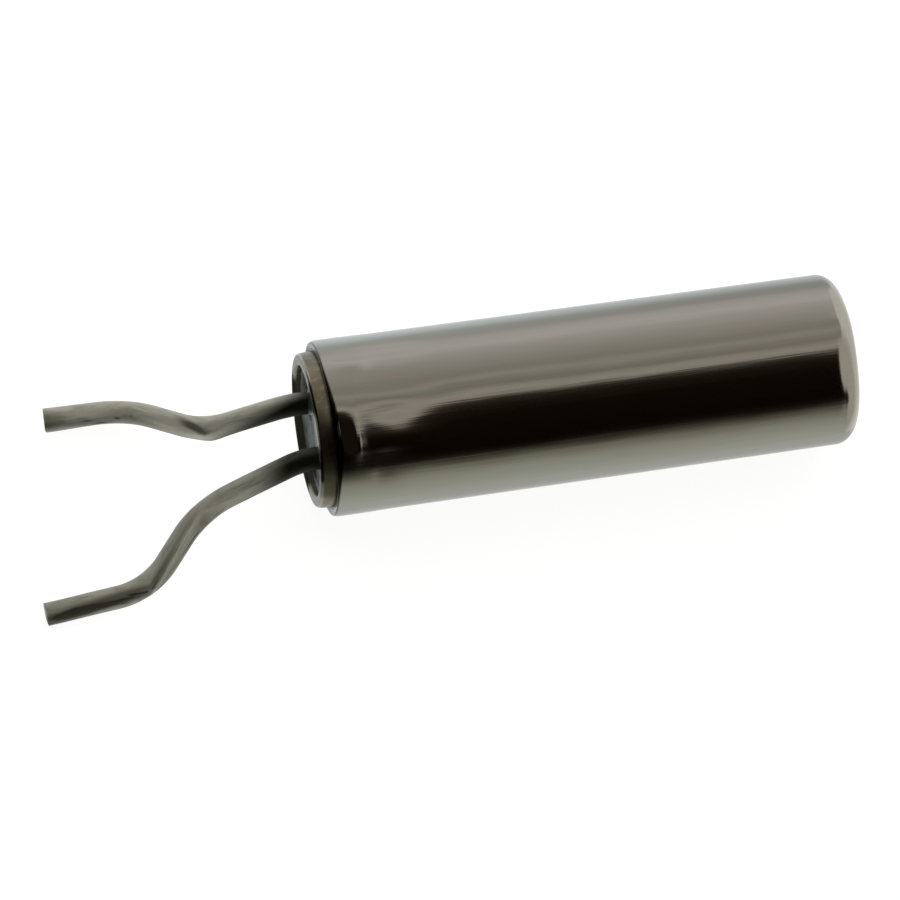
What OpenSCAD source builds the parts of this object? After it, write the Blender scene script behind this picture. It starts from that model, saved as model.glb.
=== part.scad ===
// Tuning-fork crystal unit in a drawn cylindrical can, with two leads formed
// for surface mounting.  All sizes are in millimetres.
// X runs along the can, with its closed end at +X and the leads at -X.
// Z = 0 is the board: the can's underside and the toes of the leads rest on it.
// Y = 0 is the plane between the leads.

/* [Can] */
// Outside diameter of the can where the header stretches it
can_d = 2; // [1.85:0.05:2.6]
// Length of the can from its mouth to its closed end
can_len = 6.05; // [5.6:0.05:9]
// Thickness of the drawn metal
can_wall = 0.09; // [0.06:0.01:0.12]
// Loss of diameter from the mouth to the closed end, left by the drawing die
can_draft = 0.044; // [0.02:0.002:0.08]
// Outside radius round the closed end
end_round = 0.19; // [0.14:0.01:0.3]
// Outside radius round the lip of the mouth
lip_round = 0.075; // [0.03:0.005:0.1]
// Height of the swelling that the pressed-in header leaves in the can
swell = 0.007; // [0.006:0.001:0.01]
// Length of the mouth that the press tool gripped
press_len = 0.3; // [0.16:0.02:0.4]
// Height of the step that the press tool left where its grip ended
press_step = 0.004; // [0.001:0.001:0.005]

/* [Header] */
// Length of the header ring inside the can
header_in = 0.5; // [0.3:0.05:0.8]
// Length of the header ring that stands out of the mouth
header_out = 0.17; // [0.12:0.01:0.4]
// Thickness of the header ring's wall
ring_wall = 0.15; // [0.08:0.01:0.17]
// Radius round both edges of the ring's front
front_round = 0.045; // [0.02:0.005:0.06]
// Loss of radius from the mouth to the ring's front
ring_taper = 0.018; // [0.004:0.002:0.03]
// Thickness of the soft plating that seals the ring in the can
seal_wall = 0.02; // [0.01:0.005:0.04]
// Depth of the glass below the ring's front
glass_recess = 0.11; // [0.09:0.01:0.15]
// Height that the glass climbs up the ring and the leads
glass_climb = 0.03; // [0.01:0.005:0.04]

/* [Leads] */
// Diameter of the tinned wire
lead_d = 0.26; // [0.18:0.01:0.28]
// Distance between the two wires where they leave the glass
lead_pitch = 0.8; // [0.7:0.01:0.9]
// Distance between the two toes, at their cut ends
toe_pitch = 2.72; // [2.2:0.02:3.2]
// Distance from the mouth to the first corner, where both wires turn down
hip_out = 0.3; // [0.3:0.01:0.36]
// Distance between the wires at the second corner, where they turn outwards
knee_pitch = 1.1; // [0.9:0.02:1.3]
// Drop of the second corner below the can's axis
knee_drop = 0.45; // [0.3:0.02:0.6]
// Distance from the mouth to the left wire's second corner
knee_out_left = 1.24; // [1.1:0.02:1.3]
// Distance from the mouth to the right wire's second corner
knee_out_right = 1.48; // [1.2:0.02:1.5]
// Distance between the wires at the third corner, where they straighten
ankle_pitch = 2.58; // [2.2:0.02:3]
// Height of the third corner above the toes
ankle_rise = 0.055; // [0:0.005:0.1]
// Distance from the mouth to the left wire's third corner
ankle_out_left = 1.98; // [1.9:0.01:2.1]
// Distance from the mouth to the right wire's third corner
ankle_out_right = 2.18; // [2.1:0.01:2.3]
// Distance from the mouth to the left wire's cut end
toe_out_left = 2.94; // [2.7:0.02:3.4]
// Distance from the mouth to the right wire's cut end
toe_out_right = 3.36; // [3:0.02:3.8]
// Bend radius of the first corner, at the wire's centre
hip_radius = 0.85; // [0.4:0.05:0.85]
// Bend radius of the second corner
knee_radius = 1.05; // [0.5:0.05:1.1]
// Bend radius of the third corner
ankle_radius = 0.9; // [0.5:0.05:0.95]
// Length of each wire inside the can, from the back of the header
lead_inside = 0.6; // [0.4:0.05:0.9]

/* [Quartz fork] */
// Length of the quartz blank
fork_len = 3.6; // [3:0.1:4]
// Width of the quartz blank
fork_w = 0.5; // [0.4:0.02:0.52]
// Thickness of the quartz blank
fork_t = 0.13; // [0.1:0.01:0.2]
// Length of the two tines
tine_len = 2.4; // [2:0.1:2.6]
// Width of the slot between the tines
slot_w = 0.1; // [0.06:0.01:0.14]
// Gap between the header and the foot of the blank
fork_gap = 0.12; // [0.06:0.01:0.2]
// Thickness of the metal film on the quartz
film_t = 0.006; // [0.004:0.001:0.01]
// Width of the film strip along each tine
strip_w = 0.1; // [0.06:0.01:0.12]
// Length of the film strip along each tine
strip_len = 1.5; // [1:0.1:1.6]
// Length of the contact pads on the foot of the blank
pad_len = 0.6; // [0.4:0.05:0.8]
// Length of the trimming weight at the tip of each tine
weight_len = 0.35; // [0.2:0.05:0.35]
// Thickness of the trimming weight
weight_t = 0.012; // [0.006:0.002:0.02]
// Length of each solder joint along the wire
joint_len = 0.42; // [0.3:0.02:0.44]
// Thickness of the solder around the wire, at its thickest
joint_skin = 0.035; // [0.02:0.005:0.05]

/* [Hidden] */

facets = 72;
wire_facets = 32;
round_steps = 8;

// The axis lies one radius above the board, and the model is centred on X
axis_z = can_d / 2;
mouth_x = -(can_len - toe_out_right) / 2;

// Radii that nest from the can inwards
swell_run = 0.2;
press_run = 0.03;
end_r = can_d / 2 - can_draft / 2;
bore_r = can_d / 2 - can_wall;
mouth_chamfer = 0.015;
ring_r = bore_r - seal_wall;
hole_r = ring_r - ring_wall;
front_r = min(front_round, (ring_wall - ring_taper) * 0.45);
ring_chamfer = 0.03;
glass_front = -header_out + glass_recess;
glass_back = header_in - ring_chamfer;

// Heights are measured from the can's axis
toe_drop = axis_z - lead_d / 2;
ankle_drop = toe_drop - ankle_rise;
lead_end_x = header_in + lead_inside;

// A straight runs this far into the bend, which is a hair thicker and closes over its end
bend_seat = 0.02;
bend_proud = 0.001;

// The blank's foot stands between the two wires, on the can's axis
fork_x = header_in + fork_gap;
tine_x = fork_x + fork_len - tine_len;
tine_w = (fork_w - slot_w) / 2;
tine_y = (fork_w - tine_w) / 2;
pad_edge = 0.04;
cut = 0.5;

// ---- Shapes that several pieces use ----

// Points of a round or oval corner about a centre, from one angle to another
function corner(cx, cy, rx, ry, from, to) =
    [for (i = [0:round_steps]) let (a = from + (to - from) * i / round_steps)
        [cx + rx * cos(a), cy + ry * sin(a)]];

// Turns a profile about the can's axis: its x is along the can, its y the radius
module turned(profile) {
    rotate([0, 90, 0])
        rotate_extrude($fn = facets)
            polygon([for (p = profile) [p[1], p[0]]]);
}

// Places what is drawn from the mouth along the can's axis
module at_mouth() {
    translate([mouth_x, 0, axis_z]) children();
}

// A round bar along X at a height and a distance from the middle
module bar_x(x0, x1, y, r) {
    translate([x0, y, 0]) rotate([0, 90, 0]) cylinder(h = x1 - x0, r = r, $fn = wire_facets);
}

// ---- The drawn can ----

function can_outside() = concat(
    corner(lip_round, can_d / 2 - lip_round, lip_round, lip_round, 180, 90),
    [[press_len, can_d / 2], [press_len + press_run, can_d / 2 - press_step],
     [header_in, can_d / 2 - press_step], [header_in + swell_run, can_d / 2 - swell]],
    corner(can_len - end_round, end_r - end_round, end_round, end_round, 90, 0));

function can_inside() = let (r = end_round - can_wall) concat(
    corner(can_len - end_round, end_r - end_round, r, r, 0, 90),
    [[header_in + swell_run, bore_r - swell], [header_in, bore_r],
     [mouth_chamfer, bore_r], [0, bore_r + mouth_chamfer]]);

module can() {
    color([0.62, 0.6, 0.56])
        at_mouth()
            turned(concat(can_outside(), [[can_len, 0], [can_len - can_wall, 0]], can_inside()));
}

// ---- The header: ring, soft seal and glass ----

module header_ring() {
    round_x = front_r - header_out;
    color([0.45, 0.41, 0.36])
        at_mouth()
            turned(concat(
                corner(round_x, hole_r + front_r, front_r, front_r, 270, 180),
                corner(round_x, ring_r - ring_taper - front_r, front_r, front_r, 180, 90),
                [[0, ring_r], [header_in - ring_chamfer, ring_r],
                 [header_in, ring_r - ring_chamfer], [header_in, hole_r]]));
}

module seal_plating() {
    color([0.72, 0.72, 0.7])
        at_mouth()
            turned([[mouth_chamfer, ring_r], [mouth_chamfer, bore_r],
                    [header_in - ring_chamfer, bore_r], [header_in - ring_chamfer, ring_r]]);
}

module glass_seal() {
    color([0.16, 0.22, 0.22])
        at_mouth()
            difference() {
                union() {
                    turned([[glass_front, 0], [glass_front, hole_r - glass_climb],
                            [glass_front - glass_climb, hole_r],
                            [glass_back, hole_r], [glass_back, 0]]);
                    for (side = [-1, 1])
                        translate([glass_front, side * lead_pitch / 2, 0])
                            rotate([0, -90, 0])
                                cylinder(h = glass_climb, r1 = lead_d / 2 + glass_climb,
                                         r2 = lead_d / 2 + glass_climb / 4, $fn = wire_facets);
                }
                for (side = [-1, 1])
                    bar_x(-header_out, header_in + cut, side * lead_pitch / 2, lead_d / 2);
            }
}

// ---- The formed leads ----

function unit(v) = v / norm(v);
function turn_between(a, b) = acos(unit(a) * unit(b));

// A straight length of wire between two points
module wire_straight(from, to) {
    run = to - from;
    translate(from)
        rotate([0, acos(run[2] / norm(run)), atan2(run[1], run[0])])
            cylinder(h = norm(run), d = lead_d, $fn = wire_facets);
}

// A bend that leaves a point in one direction and turns towards another
module wire_bend(start, along, towards, radius) {
    turn = turn_between(along, towards);
    inward = unit(towards - (towards * along) * along);
    centre = start + inward * radius;
    side = cross(-inward, along);
    multmatrix([[-inward[0], along[0], side[0], centre[0]],
                [-inward[1], along[1], side[1], centre[1]],
                [-inward[2], along[2], side[2], centre[2]],
                [0, 0, 0, 1]])
        rotate_extrude(angle = turn, $fn = facets * 2)
            translate([radius, 0]) circle(r = lead_d / 2 + bend_proud, $fn = wire_facets);
}

// A wire through a row of corners, each rounded by its own bend radius
module formed_wire(points, radii) {
    last = len(points) - 1;
    dirs = [for (i = [0:last - 1]) unit(points[i + 1] - points[i])];
    setback = [for (i = [0:last]) i == 0 || i == last ? 0
        : radii[i - 1] * tan(turn_between(dirs[i - 1], dirs[i]) / 2)];
    seat = [for (i = [0:last]) i == 0 || i == last ? 0 : setback[i] - bend_seat];
    for (i = [0:last - 1])
        wire_straight(points[i] + dirs[i] * seat[i], points[i + 1] - dirs[i] * seat[i + 1]);
    for (i = [1:last - 1])
        wire_bend(points[i] - dirs[i - 1] * setback[i], dirs[i - 1], dirs[i], radii[i - 1]);
}

module lead(side, knee_out, ankle_out, toe_out) {
    color([0.52, 0.52, 0.48])
        at_mouth()
            formed_wire([[lead_end_x, side * lead_pitch / 2, 0],
                         [-hip_out, side * lead_pitch / 2, 0],
                         [-knee_out, side * knee_pitch / 2, -knee_drop],
                         [-ankle_out, side * ankle_pitch / 2, -ankle_drop],
                         [-toe_out, side * toe_pitch / 2, -toe_drop]],
                        [hip_radius, knee_radius, ankle_radius]);
}

module lead_left() lead(1, knee_out_left, ankle_out_left, toe_out_left);
module lead_right() lead(-1, knee_out_right, ankle_out_right, toe_out_right);

// ---- The quartz fork and what is on it ----

module fork_solid() {
    translate([0, 0, -fork_t / 2])
        linear_extrude(fork_t)
            difference() {
                translate([fork_x, -fork_w / 2]) square([fork_len, fork_w]);
                translate([tine_x, -slot_w / 2]) square([tine_len + cut, slot_w]);
                translate([tine_x, 0]) circle(d = slot_w, $fn = wire_facets);
            }
}

module quartz_fork() {
    color([0.85, 0.88, 0.9]) at_mouth() fork_solid();
}

// A block across the thickness of the blank, given by its ends and its edges
module across_blank(x0, x1, y0, y1, thickness) {
    translate([x0, y0, -thickness / 2]) cube([x1 - x0, y1 - y0, thickness]);
}

// The film pad wraps the edge of the foot, and a strip runs out along the tine
module electrode(side) {
    skin = fork_t + 2 * film_t;
    color([0.85, 0.7, 0.35])
        at_mouth()
            mirror([0, side < 0 ? 1 : 0, 0])
                difference() {
                    union() {
                        across_blank(fork_x, fork_x + pad_len, pad_edge, fork_w / 2 + film_t, skin);
                        across_blank(fork_x + pad_len, tine_x + strip_len,
                                     tine_y - strip_w / 2, tine_y + strip_w / 2, skin);
                    }
                    across_blank(fork_x - cut, fork_x + fork_len, -fork_w / 2, fork_w / 2, fork_t);
                }
}

module electrode_left() electrode(1);
module electrode_right() electrode(-1);

// The weight that is trimmed to tune the fork, on the upper face of a tine's tip
module tip_weight(side) {
    margin = 0.02;
    color([0.9, 0.78, 0.45])
        at_mouth()
            translate([fork_x + fork_len - weight_len - margin,
                       side * tine_y - (tine_w / 2 - margin), fork_t / 2])
                cube([weight_len, tine_w - 2 * margin, weight_t]);
}

module tip_weight_left() tip_weight(1);
module tip_weight_right() tip_weight(-1);

// Solder around the inner end of a wire, which also grips the edge of the blank
module solder(side) {
    joint_r = lead_d / 2 + joint_skin;
    joint_y = lead_pitch / 2 - joint_skin / 2;
    joint_x = lead_end_x - joint_len / 2 - joint_skin / 2;
    skin = fork_t + 2 * film_t;
    color([0.66, 0.66, 0.64])
        at_mouth()
            mirror([0, side < 0 ? 1 : 0, 0])
                difference() {
                    translate([joint_x, joint_y, 0])
                        turned(concat(
                            corner(0, joint_r * 0.6, joint_len / 2, joint_r * 0.4, 180, 0),
                            [[joint_len / 2, 0], [-joint_len / 2, 0]]));
                    bar_x(header_in, lead_end_x, lead_pitch / 2, lead_d / 2);
                    across_blank(fork_x - cut, fork_x + fork_len,
                                 -fork_w / 2 - film_t, fork_w / 2 + film_t, skin);
                }
}

module solder_left() solder(1);
module solder_right() solder(-1);

can();
header_ring();
seal_plating();
glass_seal();
lead_left();
lead_right();
quartz_fork();
electrode_left();
electrode_right();
tip_weight_left();
tip_weight_right();
solder_left();
solder_right();
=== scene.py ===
"""A tuning-fork crystal unit in a drawn metal can, dressed over its CAD frame.

The frame is in metres. X runs along the can towards its closed end, Z = 0 is the board,
and Y = 0 is the plane between the two leads. Lengths written below are in millimetres, and
distances along the can are counted from its mouth.
"""

import math

import bmesh
import bpy
from mathutils import Matrix, Vector


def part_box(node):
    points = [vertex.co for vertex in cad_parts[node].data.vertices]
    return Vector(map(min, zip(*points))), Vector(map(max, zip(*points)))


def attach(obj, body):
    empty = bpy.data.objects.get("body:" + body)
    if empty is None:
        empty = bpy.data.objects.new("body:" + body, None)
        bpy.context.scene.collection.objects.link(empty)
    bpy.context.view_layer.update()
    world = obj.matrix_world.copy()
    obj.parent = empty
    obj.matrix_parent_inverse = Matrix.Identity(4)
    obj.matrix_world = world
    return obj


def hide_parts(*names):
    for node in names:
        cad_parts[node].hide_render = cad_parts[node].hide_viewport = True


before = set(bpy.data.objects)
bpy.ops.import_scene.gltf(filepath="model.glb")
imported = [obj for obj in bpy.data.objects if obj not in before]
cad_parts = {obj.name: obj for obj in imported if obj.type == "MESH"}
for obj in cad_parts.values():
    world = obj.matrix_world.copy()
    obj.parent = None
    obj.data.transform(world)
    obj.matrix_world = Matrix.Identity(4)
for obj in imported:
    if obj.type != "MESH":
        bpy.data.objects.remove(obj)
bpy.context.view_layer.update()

# ---- The can ----
# A cup of nickel silver, drawn through a die that leaves fine lines along it and a slight
# taper. It is pressed over the header, which swells its mouth, and the jaws of the press tool
# leave shallow marks behind the lip and a small flat on the shoulder of the closed end.

MM = 0.001
can_low, can_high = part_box("can")
mouth_x = can_low[0]
axis_z = (can_low[2] + can_high[2]) / 2
can_length = (can_high[0] - can_low[0]) / MM
can_radius = (can_high[2] - can_low[2]) / 2 / MM

can_wall = 0.09
can_draft = 0.022
end_radius = can_radius - can_draft
closed_end_round = 0.19
lip_round = 0.075
bore_edge = 0.015
press_end = 0.3
header_end = 0.5
swell_end = 0.7
swell_height = 0.007


class Signal:
    """A socket in a material. Arithmetic on signals adds Math nodes to the material."""

    def __init__(self, tree, socket):
        self.tree = tree
        self.socket = socket

    def node(self, kind, settings, inputs, output=0):
        """Adds a node with its settings, feeds its sockets and returns one of its outputs."""
        made = self.tree.nodes.new(kind)
        for name, value in settings.items():
            if name == "stops":
                for _ in value[2:]:
                    made.color_ramp.elements.new(0.5)
                for element, (position, colour) in zip(made.color_ramp.elements, value):
                    element.position = position
                    element.color = (*colour, 1)
            else:
                setattr(made, name, value)
        for key, value in inputs.items():
            if isinstance(value, Signal):
                self.tree.links.new(value.socket, made.inputs[key])
            else:
                made.inputs[key].default_value = value
        return Signal(self.tree, made.outputs[output])

    def worked(self, operation, first, second=0.0):
        return self.node("ShaderNodeMath", {"operation": operation}, {0: first, 1: second})

    def __add__(self, other):
        return self.worked("ADD", self, other)

    def __sub__(self, other):
        return self.worked("SUBTRACT", self, other)

    def __rsub__(self, other):
        return self.worked("SUBTRACT", other, self)

    def __mul__(self, other):
        return self.worked("MULTIPLY", self, other)

    def __truediv__(self, other):
        return self.worked("DIVIDE", self, other)

    def __pow__(self, other):
        return self.worked("POWER", self, other)

    __radd__ = __add__
    __rmul__ = __mul__

    def at_least(self, low):
        return self.worked("MAXIMUM", self, low)

    def between(self, low, high, how="SMOOTHSTEP"):
        """A mask that runs from 0 at low to 1 at high."""
        return self.node("ShaderNodeMapRange", {"interpolation_type": how},
                         {"Value": self, "From Min": low, "From Max": high})

    def mixed(self, low, high):
        """The colour low where this mask is 0, and the colour high where it is 1."""
        low, high = ((*c, 1) if isinstance(c, tuple) else c for c in (low, high))
        return self.node("ShaderNodeMix", {"data_type": "RGBA"}, {0: self, 6: low, 7: high}, 2)

    def part(self, letter):
        """The X, Y or Z of this place."""
        return self.node("ShaderNodeSeparateXYZ", {}, {0: self}, letter)

    def stretched(self, along, across):
        """This place, counted in grains that are so many millimetres long and wide."""
        return self.node("ShaderNodeMapping", {}, {
            "Vector": self, "Scale": (1 / (along * MM), 1 / (across * MM), 1 / (across * MM))})

    def noise(self, detail, roughness=0.5):
        return self.node("ShaderNodeTexNoise", {}, {
            "Vector": self, "Scale": 1.0, "Detail": detail, "Roughness": roughness})

    def bumped(self, depth, normal=None):
        """A surface that this height, from 0 to 1, raises by a depth in millimetres."""
        below = {} if normal is None else {"Normal": normal}
        return self.node("ShaderNodeBump", {}, {"Height": self, "Distance": depth * MM, **below})


class Finish:
    """A material, with its shader's constants set and the place on the piece as a signal."""

    def __init__(self, name, **constants):
        self.material = bpy.data.materials.new(name)
        self.material.use_nodes = True
        self.tree = self.material.node_tree
        self.shader = self.tree.nodes["Principled BSDF"]
        for socket, value in constants.items():
            self.shader.inputs[socket.replace("_", " ")].default_value = value
        self.place = Signal(self.tree, self.tree.nodes.new("ShaderNodeTexCoord").outputs["Object"])

    def feed(self, socket, signal):
        self.tree.links.new(signal.socket, self.shader.inputs[socket])


def from_mouth(along, above=0, aside=0):
    """A point on the can's axis, or so far above it and so far aside to the left lead."""
    return Vector((mouth_x + along * MM, aside * MM, axis_z + above * MM))


def outline(corners):
    """A bmesh with one open outline through corners given as (distance from the mouth, radius)."""
    mesh = bmesh.new()
    points = [mesh.verts.new(from_mouth(*corner)) for corner in corners]
    for a, b in zip(points, points[1:]):
        mesh.edges.new((a, b))
    return mesh, points


def rounded(mesh, point, setback, steps):
    """Rounds one corner of an outline."""
    bmesh.ops.bevel(mesh, geom=[point], affect="VERTICES", offset_type="OFFSET",
                    offset=setback * MM, segments=steps, profile=0.5, material=-1)


def spun(mesh, steps):
    """Turns an outline into a body of revolution about the can's axis."""
    bmesh.ops.spin(mesh, geom=mesh.verts[:] + mesh.edges[:], cent=from_mouth(0), axis=(1, 0, 0),
                   angle=math.tau, steps=steps, use_merge=True)
    bmesh.ops.remove_doubles(mesh, verts=mesh.verts[:], dist=0.0001 * MM)
    bmesh.ops.recalc_face_normals(mesh, faces=mesh.faces[:])


def new_object(name, mesh, finish):
    """Puts a mesh with its finish in the scene."""
    data = bpy.data.meshes.new(name)
    mesh.to_mesh(data)
    mesh.free()
    data.materials.append(finish.material)
    made = bpy.data.objects.new(name, data)
    bpy.context.scene.collection.objects.link(made)
    return made


def piece(name, mesh, finish, slot, *nodes):
    """Makes the finished piece from a mesh and puts it in place of its CAD nodes."""
    made = new_object(name, mesh, finish)
    for face in made.data.polygons:
        face.use_smooth = True
    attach(made, "root")
    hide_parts(*nodes)


def skin_radius(along):
    """The can's outer radius at a distance along it, before the tool marks."""
    stations = [(lip_round, can_radius), (press_end, can_radius),
                (swell_end, can_radius - swell_height), (can_length - closed_end_round, end_radius)]
    for (start, low), (end, high) in zip(stations, stations[1:]):
        if along <= end:
            return low + (high - low) * max(0, along - start) / (end - start)
    return high


# Rings of points in the skin, as (first, gap, count): close together where it is marked
skin_rings = [(0.08, 0.008, 40), (0.41, 0.015, 72), (1.5, 0.15, 28), (5.64, 0.01, 22)]
skin = [first + gap * ring for first, gap, count in skin_rings for ring in range(count)]
corners = [(can_length - can_wall, 0), (can_length - can_wall, end_radius - can_wall),
           (swell_end, can_radius - swell_height - can_wall), (header_end, can_radius - can_wall),
           (bore_edge, can_radius - can_wall), (0, can_radius - can_wall + bore_edge),
           (0, can_radius), *((along, skin_radius(along)) for along in skin),
           (can_length, end_radius), (can_length, 0)]
can_mesh, points = outline(corners)
inner_corner, lip, outer_corner = points[1], points[6], points[-2]
rounded(can_mesh, inner_corner, closed_end_round - can_wall, steps=8)
rounded(can_mesh, lip, lip_round, steps=12)
rounded(can_mesh, outer_corner, closed_end_round, steps=24)
spun(can_mesh, steps=300)

# Dents that are taken for marks of the press tool's jaws, as (height, place along, reach along,
# place around, reach around). Degrees around the can run from straight ahead of the near side
# over the top. An optimiser set every row but the last, and most values of the step below them,
# to suit the reflections near the mouth. They weren't measured.
press_marks = [
    (0.0310, 0.629, 0.362, 38.9, 5.3),
    (-0.0204, 0.542, 0.122, 23.6, 13.2),
    (-0.0177, 0.792, 0.293, 100.3, 7.1),
    (0.0261, 0.253, 0.070, 42.1, 8.3),
    (-0.0310, 0.050, 0.153, 48.2, 7.1),
    (-0.0157, 0.671, 0.242, 58.0, 5.1),
    (0.0113, 0.346, 0.173, 93.6, 4.1),
    (-0.0319, 0.733, 0.354, 78.7, 12.1),
    (-0.0050, 0.200, 0.150, 28.0, 8.0),
]
step_depth = 0.0094
step_start, step_run = 0.272, 0.022
step_end, step_fade = 2.4, 0.3
step_from, fade_from = 32.0, 5.1
step_to, fade_to = 67.7, 9.0
flat_depth = 0.03
flat_start, flat_run = 5.842, 0.06
flat_around, flat_reach = 46.0, 17.0

# On the round of the closed end, the distances along and from the axis add up to more than this
end_arc = can_length - closed_end_round + end_radius - 0.01


def rise(value, middle, reach):
    """A soft step from 0 to 1."""
    return (1 + math.tanh((value - middle) / reach)) / 2


def bell(value, middle, reach):
    """A soft hump that falls away from 1 in the middle."""
    return math.exp(-((value - middle) / reach) ** 2 / 2)


def marked(along, around):
    """How far the tools left the skin above or below a true round."""
    marks = sum(height * bell(along, place, run) * bell(around, angle, reach)
                for height, place, run, angle, reach in press_marks)
    step = rise(along, step_start, step_run) * rise(-along, -step_end, step_fade)
    step = step * rise(around, step_from, fade_from) * rise(-around, -step_to, fade_to)
    flat = rise(along, flat_start, flat_run) * bell(around, flat_around, flat_reach)
    return marks - step_depth * step - flat_depth * flat


# The skin is all that lies outside the middle of the wall, and the round of the closed end
for point in can_mesh.verts:
    spoke = Vector((0, point.co.y, point.co.z - axis_z))
    along = (point.co.x - mouth_x) / MM
    reach = spoke.length / MM
    if along > 0 and (reach > can_radius - can_wall / 2 or along + reach > end_arc):
        around = (math.degrees(math.atan2(spoke.z, -spoke.y)) + 90) % 360 - 90
        point.co += spoke.normalized() * marked(along, around) * min(1, along / lip_round) * MM

nickel_cool, nickel_warm = (0.325, 0.32, 0.29), (0.345, 0.325, 0.295)
mauve_haze = (0.345, 0.31, 0.29)
# Painted sheen on the far shoulder: its dim and bright colours, where along the can it runs and
# which way it faces
sheen_dim, sheen_bright = (0.285, 0.275, 0.25), (0.405, 0.40, 0.37)
sheen_from, sheen_to = 4.9, 0.4
sheen_up, sheen_aside = 0.819, 0.574
# Painted shade on the lip: its colour, and how far back it reaches and fades
lip_painted_shade = (0.014, 0.012, 0.008)
lip_shade_reach, lip_shade_more, lip_shade_fade = 0.01, 0.075, 0.012

can_finish = Finish("can_metal", Metallic=1.0)
drawn = can_finish.place.stretched(2.5, 0.07).noise(3.0)
fine_lines = can_finish.place.stretched(1.2, 0.012).noise(2.0)
clouds = can_finish.place.stretched(1.5, 0.5).noise(1.0)
waves = can_finish.place.stretched(0.9, 0.35).noise(1.0)
tint = drawn.between(0.35, 0.65).mixed(nickel_cool, nickel_warm)
tint = (clouds.between(0.45, 0.7) * 0.5).mixed(tint, mauve_haze)

# Painted sheen: the far shoulder's colour gets brighter towards the mouth, for the brighter
# reflection there
height = (can_finish.place.part("Z") - axis_z) / (can_radius * MM)
aside = can_finish.place.part("Y") / (can_radius * MM)
along = can_finish.place.part("X") - mouth_x
painted_sheen = along.between(sheen_from * MM, sheen_to * MM, "LINEAR").mixed(sheen_dim, sheen_bright)
far_shoulder_sheen = (height * sheen_up + aside * sheen_aside).between(0.93, 0.98)
tint = (far_shoulder_sheen * 0.85).mixed(tint, painted_sheen)

# Painted shade: a dark band on the lip, for the shade and dark reflection in the groove against
# the ring, reaches furthest back on its near upper side
near_shoulder = ((height - aside) * 0.707).at_least(0.0)
past_lip_shade = along - (lip_shade_reach + lip_shade_more * near_shoulder ** 6) * MM
tint = past_lip_shade.between(lip_shade_fade * MM, -lip_shade_fade * MM).mixed(tint, lip_painted_shade)
can_finish.feed("Base Color", tint)
can_finish.feed("Roughness", 0.07 + 0.05 * clouds + 0.03 * drawn)
can_finish.feed("Normal", waves.bumped(0.004, fine_lines.bumped(0.0004, drawn.bumped(0.001))))
piece("drawn_can", can_mesh, can_finish, "can_metal", "can")

# ---- The header ring ----
# A turned ring of nickel-iron, plated satin, that holds the glass. Its front stands out of the
# can's mouth and tapers a little, and soft plating seals its barrel in the can. Its far lower
# side and patches of its near side are painted nearly black, as painted shade and painted
# reflections of the dark wires.

ring_radius = 0.89
ring_bore = 0.74
ring_front = -0.17
ring_taper = 0.018
ring_chamfer = 0.03
front_round = 0.035

ring_mesh, points = outline([(header_end, ring_bore), (ring_front, ring_bore),
                             (ring_front, ring_radius - ring_taper), (0, ring_radius),
                             (header_end - ring_chamfer, ring_radius),
                             (header_end, ring_radius - ring_chamfer), (header_end, ring_bore)])
for corner in (points[1], points[2]):
    rounded(ring_mesh, corner, front_round, steps=10)
spun(ring_mesh, steps=160)

plating_dark, plating_light = (0.145, 0.125, 0.084), (0.205, 0.185, 0.138)
speck_light = (0.31, 0.28, 0.205)
lighter_front_edge = (0.33, 0.325, 0.285)
ring_painted_shade = (0.015, 0.018, 0.009)

ring_finish = Finish("ring_metal", Specular_IOR_Level=0.0)
turning = ring_finish.place.stretched(0.03, 0.6).noise(2.0)
stain = ring_finish.place.stretched(0.5, 0.4).noise(3.0)
specks = ring_finish.place.stretched(0.1, 0.07).noise(2.0)
aside = ring_finish.place.part("Y") / (ring_radius * MM)
height = (ring_finish.place.part("Z") - axis_z) / (ring_radius * MM)
spoke = (aside * aside + height * height) ** 0.5
along = ring_finish.place.part("X") - mouth_x
front_edge = along.between((ring_front + 0.04) * MM, (ring_front + 0.02) * MM)
face = along.between((ring_front + 0.012) * MM, (ring_front + 0.002) * MM)
bore = spoke.between(0.855, 0.84)


def shade_patch(up, near, start):
    """A mask for a patch of painted shade in a direction given as shares upwards and towards the
    near side.
    """
    return ((height * up - aside * near) / spoke).between(start, 0.99)


# Painted shade: the far lower side, most of all at the front edge, and patches on the near side
# where the wires shade the ring and are mirrored in its face, go nearly black
far_low_shade = (aside * 0.606 - height * 0.795).between(0.42, 0.56) * (0.35 + 0.65 * front_edge)
near_shade_patches = 0.65 * shade_patch(0.122, 0.993, 0.93)
near_shade_patches = near_shade_patches + front_edge * shade_patch(0.407, 0.914, 0.955)
near_shade_patches = near_shade_patches + front_edge * shade_patch(0.970, 0.242, 0.955)
plated = stain.between(0.3, 0.7).mixed(plating_dark, plating_light)
plated = (specks.between(0.5, 0.66) * 0.5).mixed(plated, speck_light)
# The ring's front edge is coloured lighter than its barrel
plated = front_edge.mixed(plated, lighter_front_edge)
ring_finish.feed("Base Color", (far_low_shade * 0.92 + near_shade_patches * 0.9).mixed(plated, ring_painted_shade))
ring_finish.feed("Metallic", (1 - far_low_shade) * (1 - 0.6 * face))
ring_finish.feed("Roughness", 0.24 - 0.11 * front_edge + 0.12 * stain + 0.3 * bore)
ring_finish.feed("Normal", stain.bumped(0.006, turning.bumped(0.001)))
piece("plated_ring", ring_mesh, ring_finish, "ring_metal", "header_ring")

# ---- The glass seal ----
# Dark glass melted between the ring and the two wires. It creeps up the ring and the wires in
# thin menisci and sits well below the front of the ring.

glass_front = -0.06
glass_back = 0.47
glass_creep = 0.03
face_margin = 1.2
creep_steps = 6
wire_radius = 0.13
wire_spacing = 0.8

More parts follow.
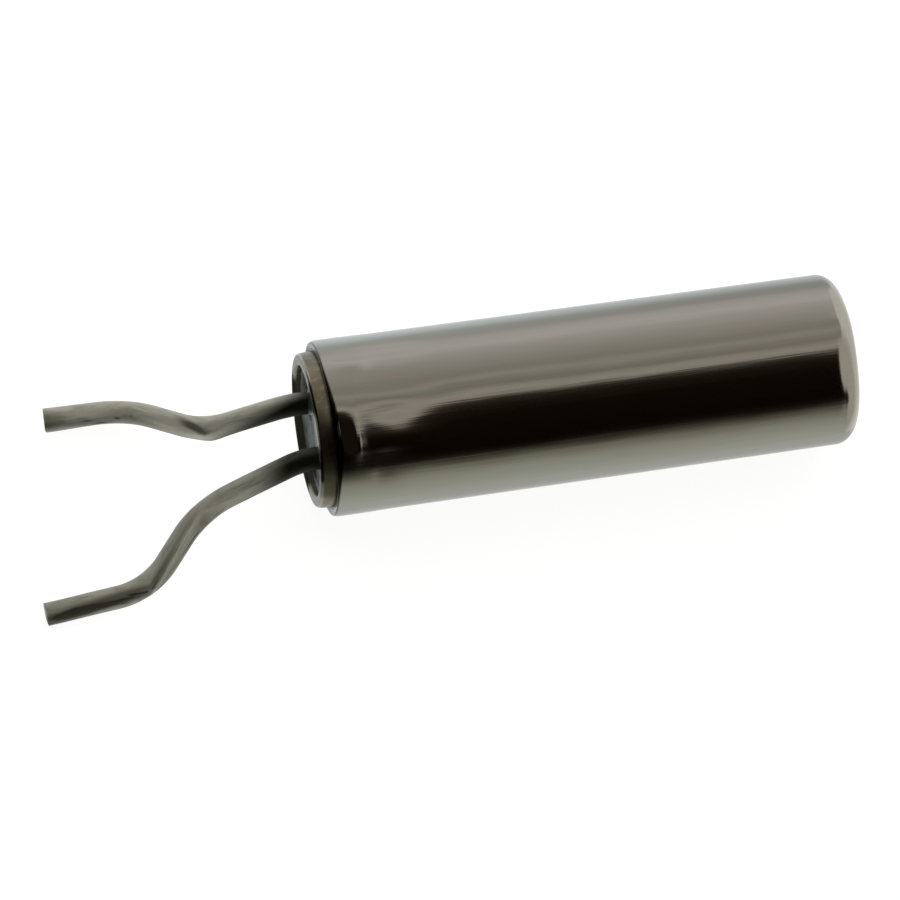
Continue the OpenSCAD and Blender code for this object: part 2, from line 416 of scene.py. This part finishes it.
glass_mesh = bmesh.new()
across_can = Matrix.Rotation(math.radians(90), 4, "Y")


def glass_circle(radius, aside, segments):
    """A circle in the plane of the glass's face, which returns its edges."""
    centre = Matrix.Translation(from_mouth(glass_front, 0, aside))
    made = bmesh.ops.create_circle(glass_mesh, cap_ends=False, segments=segments,
                                   radius=radius * MM, matrix=centre @ across_can)
    return list({edge for point in made["verts"] for edge in point.link_edges})


def glass_wall(edges, aside, stages):
    """Extrudes a circle through stages of (distance from the mouth, radius)."""
    for along, radius in stages:
        made = bmesh.ops.extrude_edge_only(glass_mesh, edges=edges)["geom"]
        edges = [g for g in made if isinstance(g, bmesh.types.BMEdge)]
        points = [g for g in made if isinstance(g, bmesh.types.BMVert)]
        middle = sum((p.co for p in points), Vector()) / len(points)
        scale = radius * MM / (points[0].co - middle).length
        bmesh.ops.scale(glass_mesh, vec=(scale, scale, scale), space=Matrix.Translation(-middle),
                        verts=points)
        bmesh.ops.translate(glass_mesh, vec=from_mouth(along, 0, aside) - middle, verts=points)
    return edges


def creep(start, end):
    """Stages of a concave fillet that leaves the glass's face and climbs to its rim."""
    turns = [math.radians(90 * step / creep_steps) for step in range(creep_steps + 1)]
    return [(glass_front - (1 - math.cos(turn)) * glass_creep,
             start + (end - start) * math.sin(turn)) for turn in turns]


# Where the glass meets the ring and each wire: place aside, radius, which way from there the
# glass's face lies, segments
face_edges, back_edges = [], []
for aside, radius, facing, segments in ((0, ring_bore, -1, 96),
                                        (-wire_spacing / 2, wire_radius, 1, 48),
                                        (wire_spacing / 2, wire_radius, 1, 48)):
    foot = glass_circle(radius + facing * glass_creep * face_margin, aside, segments)
    face_edges += foot
    back_edges += glass_wall(foot, aside, creep(radius + facing * glass_creep, radius)
                             + [(glass_back, radius)])
for edges in (face_edges, back_edges):
    bmesh.ops.triangle_fill(glass_mesh, use_beauty=True, edges=edges)
bmesh.ops.recalc_face_normals(glass_mesh, faces=glass_mesh.faces[:])

# The glass's own dark colour, which also serves as painted shade round the wires, and its milky
# colour
dark_glass_and_shade, glass_milky = (0.05, 0.06, 0.052), (0.28, 0.335, 0.32)

glass_finish = Finish("seal_glass", IOR=1.52, Specular_IOR_Level=0.3)
melt = glass_finish.place.stretched(0.3, 0.4).noise(1.5)
milky = melt.between(0.25, 0.6)
# Painted shade: the glass turns to its dark colour round each wire's root
for side in (-1, 1):
    wire = tuple(from_mouth(glass_front, 0, side * wire_spacing / 2))
    gap = glass_finish.place.node("ShaderNodeVectorMath", {"operation": "DISTANCE"},
                                  {0: glass_finish.place, 1: wire}, "Value")
    milky = milky * gap.between((wire_radius + 0.01) * MM, (wire_radius + 0.14) * MM)
glass_finish.feed("Base Color", milky.mixed(dark_glass_and_shade, glass_milky))
glass_finish.feed("Roughness", 0.12 + 0.1 * melt)
glass_finish.feed("Normal", melt.bumped(0.006))
piece("glass_bead", glass_mesh, glass_finish, "seal_glass", "glass_seal")

# ---- The leads ----
# Two tinned wires that pass through the glass. They are bent down, outwards and forwards so
# that their toes lie on the board, and cropped with a blunt cutter, one longer than the other.

lead_inner_end = 1.1
hip_out = 0.3
knee_aside, knee_drop = 0.55, 0.45
ankle_aside, ankle_drop = 1.29, 0.815
toe_aside, toe_drop = 1.36, 0.87
bend_radii = (0.85, 1.05, 0.9)
burr = 0.012
wire_sides, run_steps, bend_steps = 48, 6, 16

# Tools pinch a wire's upper and lower edges, which face this way and its opposite, and
# painted shade darkens them
edge_aside, edge_up = 0.8, 0.6


def wire_path(side, knee_out, ankle_out, toe_out):
    """The corners of a wire, from its end in the can to its cut end."""
    corners = [(lead_inner_end, 0, wire_spacing / 2), (-hip_out, 0, wire_spacing / 2),
               (-knee_out, -knee_drop, knee_aside), (-ankle_out, -ankle_drop, ankle_aside),
               (-toe_out, -toe_drop, toe_aside)]
    return [from_mouth(along, above, side * aside) for along, above, aside in corners]


def formed_wire(corners):
    """Draws a wire straight to each bend, spins it round the bend and caps both ends."""
    mesh = bmesh.new()
    runs = [(b - a).normalized() for a, b in zip(corners, corners[1:])]
    start = Matrix.Translation(corners[0]) @ runs[0].to_track_quat("Z", "Y").to_matrix().to_4x4()
    made = bmesh.ops.create_circle(mesh, cap_ends=False, segments=wire_sides,
                                   radius=wire_radius * MM, matrix=start)
    edges = list({edge for point in made["verts"] for edge in point.link_edges})
    ends = [edges]
    here = corners[0]
    bends = zip(corners[1:], runs, runs[1:] + [None], bend_radii + (0,))
    for corner, before, after, radius in bends:
        turn = before.angle(after) if after else 0
        stop = corner - before * radius * MM * math.tan(turn / 2)
        for _ in range(run_steps):
            made = bmesh.ops.extrude_edge_only(mesh, edges=edges)["geom"]
            edges = [g for g in made if isinstance(g, bmesh.types.BMEdge)]
            points = [g for g in made if isinstance(g, bmesh.types.BMVert)]
            bmesh.ops.translate(mesh, vec=(stop - here) / run_steps, verts=points)
        if after:
            inward = (after - before * after.dot(before)).normalized()
            made = bmesh.ops.spin(mesh, geom=edges + points, cent=stop + inward * radius * MM,
                                  axis=before.cross(after).normalized(), angle=turn,
                                  steps=bend_steps)
            edges = [g for g in made["geom_last"] if isinstance(g, bmesh.types.BMEdge)]
            here = corner + after * radius * MM * math.tan(turn / 2)
    ends.append(edges)
    for rim in ends:
        bmesh.ops.edgeloop_fill(mesh, edges=rim)
    bmesh.ops.bevel(mesh, geom=ends[1], affect="EDGES", offset=burr * MM, offset_type="OFFSET",
                    segments=3, profile=0.5, material=-1)
    bmesh.ops.recalc_face_normals(mesh, faces=mesh.faces[:])
    return mesh


def pinched(mesh, pinches):
    """Shifts a wire's lower and upper edge where the forming tools and the cutter pinched it."""
    for point in mesh.verts:
        along = (point.co.x - mouth_x) / MM
        facing = point.normal.y * edge_aside + point.normal.z * edge_up
        for place, reach, lower, upper in pinches:
            shift = lower * max(0, -facing) + upper * max(0, facing)
            point.co.y -= shift * bell(along, place, reach) * MM
    return mesh


tin_grey, tin_bright = (0.60, 0.585, 0.50), (0.68, 0.685, 0.60)
tin_oxide = (0.30, 0.29, 0.24)
tin_painted_glint = (0.80, 0.81, 0.78)
lead_soil_and_shade = (0.05, 0.048, 0.034)
root_painted_shade = (0.010, 0.011, 0.004)


def tin_finish(name, corners, root, dulled, stains_and_shades):
    """Dull tin, whose streaks, stains and painted shade follow a wire through its corners."""
    finish = Finish(name, Specular_IOR_Level=0.25)
    along, aside, height = (finish.place.part(letter) for letter in "XYZ")
    for start, end in zip(corners, corners[1:]):
        passed = along.between(start.x, end.x, "LINEAR")
        aside = aside - passed * (end.y - start.y)
        height = height - passed * (end.z - start.z)
    aside, height = aside - corners[0].y, height - corners[0].z
    on_wire = along.node("ShaderNodeCombineXYZ", {}, {0: along, 1: aside, 2: height})
    streaks = on_wire.stretched(0.5, 0.045).noise(2.0)
    mottle = on_wire.stretched(0.16, 0.07).noise(4.0, 0.6)
    grit = on_wire.stretched(0.05, 0.03).noise(2.0)

    upward = aside * edge_aside + height * edge_up + (mottle - 0.5) * 0.03 * MM
    # Painted shade: the wire's lower edge is much darker, its upper edge a little darker
    soil_and_shade = dulled + 0.55 * upward.between(0.0, -0.12 * MM)
    soil_and_shade = soil_and_shade + 0.15 * upward.between(0.02 * MM, 0.11 * MM)
    # Stains, and patches of painted shade in the bends and painted light below them
    for depth, place, side, length, width, slant in stains_and_shades:
        beyond = along - (mouth_x + place * MM)
        across = upward - side * MM - beyond * slant
        offset = along.node("ShaderNodeCombineXYZ", {}, {
            0: beyond / (length * MM), 1: across / (width * MM)})
        distance = offset.node("ShaderNodeVectorMath", {"operation": "LENGTH"}, {0: offset},
                               "Value")
        soil_and_shade = soil_and_shade + depth * distance.between(1.0, 0.3)
    soil_and_shade = soil_and_shade + 0.3 * streaks.between(0.55, 0.7)

    # Painted shade: the wire darkens towards its root in the glass
    shade_start, shade_full, slope = root
    root_shade = (along - upward * slope).between(mouth_x + shade_start * MM, mouth_x + shade_full * MM)
    root_shade = root_shade * (1 - 0.12 * upward.between(0.02 * MM, 0.08 * MM))
    tin = streaks.between(0.35, 0.65).mixed(tin_grey, tin_bright)
    tin = (mottle.between(0.46, 0.72) * 0.4).mixed(tin, tin_oxide)
    # Painted glints: bright specks in the tin's colour
    tin = (grit.between(0.58, 0.72) * 0.3).mixed(tin, tin_painted_glint)
    finish.feed("Base Color", root_shade.mixed(soil_and_shade.mixed(tin, lead_soil_and_shade), root_painted_shade))
    finish.feed("Metallic", 0.25 - 0.15 * mottle)
    finish.feed("Roughness", 0.38 + 0.2 * mottle)
    finish.feed("Normal", grit.bumped(0.002, mottle.bumped(0.006)))
    return finish


# Each root is (where its painted shade starts, where it is fully shaded, slope), each pinch
# (place along, reach, shift of the lower edge, shift of the upper edge), and each stain or patch
# of painted shade (depth, place along, place across, length, width, slant). A negative one
# lightens the wire, as painted light.
left_path = wire_path(1, 1.24, 1.98, 2.94)
left_wire = pinched(formed_wire(left_path), [(-1.17, 0.1, 0.035, 0.0),
                                             (-2.94, 0.28, 0.032, 0.006)])
left_finish = tin_finish("left_tin", left_path, (-0.95, -0.2, 3.8), 0.0, [
    (0.8, -1.34, 0.0, 0.24, 0.09, -0.28), (-0.55, -1.45, -0.085, 0.5, 0.07, 0.0),
    (-0.35, -1.05, -0.08, 0.3, 0.08, 0.0), (-0.45, -0.75, 0.09, 0.75, 0.1, 0.0),
    (0.22, -2.4, -0.085, 0.6, 0.06, 0.0), (0.5, -2.98, -0.02, 0.42, 0.13, 0.0)])
piece("left_lead", left_wire, left_finish, "tinned_wire", "lead_left")

right_path = wire_path(-1, 1.48, 2.18, 3.36)
right_wire = pinched(formed_wire(right_path), [(-1.45, 0.2, 0.016, 0.014),
                                               (-3.36, 0.35, 0.02, 0.02)])
right_finish = tin_finish("right_tin", right_path, (-0.95, -0.45, 0.3), 0.18, [
    (0.65, -2.5, -0.01, 1.2, 0.105, 0.055), (0.2, -2.95, -0.055, 0.45, 0.07, 0.0),
    (-0.25, -1.35, -0.08, 0.9, 0.09, 0.0), (-0.2, -2.45, -0.1, 0.6, 0.06, 0.0),
    (0.15, -3.2, 0.0, 0.4, 0.2, 0.0)])
piece("right_lead", right_wire, right_finish, "tinned_wire", "lead_right")

# ---- What is sealed inside ----
# The soft plating round the ring, and the quartz fork with its films, weights and solder, are
# the CAD's own solids. Nothing shows them unless the can is taken away.


def dress(finish, *nodes):
    """Gives CAD nodes a finish in place of their plain one."""
    for name in nodes:
        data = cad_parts[name].data
        data.materials.clear()
        data.materials.append(finish.material)


def grained(name, dark, light, grain, roughness, **constants):
    """A finish whose colour and gloss vary in grains of some millimetres."""
    finish = Finish(name, **constants)
    speckle = finish.place.stretched(grain, grain).noise(3.0)
    finish.feed("Base Color", speckle.between(0.3, 0.7).mixed(dark, light))
    finish.feed("Roughness", roughness + 0.15 * speckle)
    finish.feed("Normal", speckle.bumped(grain * 0.02))
    return finish


seal_tin = grained("seal_tin", (0.30, 0.29, 0.26), (0.42, 0.41, 0.38), 0.08, 0.3, Metallic=1.0)
quartz = grained("quartz", (0.62, 0.66, 0.68), (0.72, 0.75, 0.76), 0.2, 0.08, IOR=1.54)
electrode_film = grained("electrode_film", (0.75, 0.55, 0.22), (0.85, 0.66, 0.30), 0.05, 0.2,
                         Metallic=1.0)
weight_film = grained("weight_film", (0.78, 0.60, 0.28), (0.88, 0.70, 0.36), 0.04, 0.25,
                      Metallic=1.0)
solder = grained("solder", (0.45, 0.45, 0.43), (0.60, 0.60, 0.58), 0.1, 0.25, Metallic=1.0)
dress(seal_tin, "seal_plating")
dress(quartz, "quartz_fork")
dress(electrode_film, "electrode_left", "electrode_right")
dress(weight_film, "tip_weight_left", "tip_weight_right")
dress(solder, "solder_left", "solder_right")

# ---- The studio ----
# A lit white table in a light tent. The tent is open towards the camera, and the dark room in
# the opening is what the can mirrors as its black band. The tent's cloth is bright beyond the
# closed end and has a gap beyond the leads.

table_size = 600

table_mesh = bmesh.new()
bmesh.ops.create_grid(table_mesh, x_segments=1, y_segments=1, size=table_size * MM / 2)
table_finish = Finish("table_white", Base_Color=(0.3, 0.3, 0.3, 1), Roughness=1.0,
                      Emission_Color=(1, 1, 1, 1), Emission_Strength=0.92)
table = new_object("table", table_mesh, table_finish)
table.visible_glossy = False

# Angles run from straight ahead of the can's near side, over its top and down behind it. The
# levels were scaled until the can was shaded as the real one is at each angle, and end_edge
# comes from the optimiser that set the press marks.
tent = [(-180, (0.64, 0.66, 0.65)), (-165, (0.84, 0.91, 0.93)), (-135, (0.80, 0.84, 0.86)),
        (-105, (0.69, 0.70, 0.67)), (-90, (0.74, 0.77, 0.74)), (-73, (0.80, 0.84, 0.79)),
        (-53, (0.72, 0.76, 0.69)), (-38, (0.60, 0.63, 0.55)), (-26, (0.40, 0.40, 0.33)),
        (-16, (0.13, 0.13, 0.095)), (-8, (0.017, 0.014, 0.010)), (0, (0.007, 0.004, 0.0025)),
        (40, (0.0105, 0.0065, 0.003)), (52, (0.021, 0.016, 0.010)),
        (61, (0.055, 0.042, 0.027)), (67, (0.68, 0.655, 0.60)),
        (73, (0.62, 0.57, 0.51)), (78, (0.40, 0.38, 0.335)), (85, (0.50, 0.49, 0.43)),
        (90, (0.61, 0.60, 0.55)), (98, (0.48, 0.465, 0.415)), (125, (0.71, 0.69, 0.655)),
        (145, (0.96, 0.93, 0.94)), (158, (0.87, 0.855, 0.845)), (168, (0.655, 0.655, 0.63)),
        (180, (0.64, 0.66, 0.65))]
end_bright, end_shade = (1.10, 1.10, 1.04), (0.76, 0.745, 0.66)
end_edge, end_edge_drop = 0.46, 0.2
gap_dark, gap_glow = (0.016, 0.012, 0.008), (0.38, 0.37, 0.33)
gap_edge_below, gap_edge_above, gap_edge_drop = 0.62, 0.62, 0.02
edge_blur = 0.1

world = bpy.data.worlds.new("light_tent")
world.use_nodes = True
sky = Signal(world.node_tree, world.node_tree.nodes.new("ShaderNodeTexCoord").outputs["Generated"])
along, far, above = (sky.part(letter) for letter in "XYZ")
sweep = sky.worked("ARCTAN2", above, 0 - far) / math.tau + 0.5
stops = [(angle / 360 + 0.5, colour) for angle, colour in tent]
light = sweep.node("ShaderNodeValToRGB", {"stops": stops}, {0: sweep})

# The bright cloth beyond the closed end is duller towards the near side. It hangs further
# forward high up at the far side and low down at the near side.
end_cloth = (above * 0.2 - far * 0.98).between(0.04, 0.44).mixed(end_bright, end_shade)
diagonal = above + far
end_cloth_edge = (end_edge - end_edge_drop * diagonal.between(0.9, 1.3)
                  - end_edge_drop * diagonal.between(-0.9, -1.3))
light = (along - end_cloth_edge).between(0.0, edge_blur).mixed(light, end_cloth)

# The dark gap beyond the leads is widest above the near side, and a lamp glows in its middle
gap_above = gap_edge_above * far.between(-0.35, 0.3) - gap_edge_drop
gap_edge = gap_edge_below + (gap_above - gap_edge_below) * above.between(-0.15, 0.05)
light = (0 - along - gap_edge).between(0.0, edge_blur).mixed(light, gap_dark)
light = (0 - along).between(0.93, 1.0).mixed(light, gap_glow)

seen = sky.node("ShaderNodeLightPath", {}, {}, "Is Camera Ray")
backdrop = seen.mixed(light, (1.0, 1.0, 1.0))
world.node_tree.links.new(backdrop.socket, world.node_tree.nodes["Background"].inputs["Color"])
bpy.context.scene.world = world
bpy.context.scene.view_settings.view_transform = "Standard"

# The camera looks down on the near side from beyond the leads, a little out of level. A fit to
# the outlines of the can and its leads gave its angles and its place.
lens, sensor = 200, 36
look_down = math.radians(52.7)
end_away = 0.1679
out_of_level = 0.1382
aim = from_mouth(3.018)
aim_in_view = Vector((1.49754, -0.64536, 56.69)) * MM

can_in_view = Vector((math.cos(end_away) * math.cos(out_of_level),
                      -math.cos(end_away) * math.sin(out_of_level), math.sin(end_away)))
down = Vector((math.sin(out_of_level), math.cos(out_of_level), 0))
up = -math.cos(look_down) * down - math.sin(look_down) * can_in_view.cross(down)
axes = Matrix((can_in_view, up.cross(can_in_view), up))
camera = bpy.data.objects.new("camera", bpy.data.cameras.new("camera"))
camera.data.lens = lens
camera.data.sensor_width = sensor
camera.data.clip_start = 5 * MM
camera.data.clip_end = 2000 * MM
camera.matrix_world = (Matrix.Translation(aim - axes @ aim_in_view)
                       @ (axes @ Matrix.Diagonal((1, -1, -1))).to_4x4())
bpy.context.scene.collection.objects.link(camera)
bpy.context.scene.camera = camera
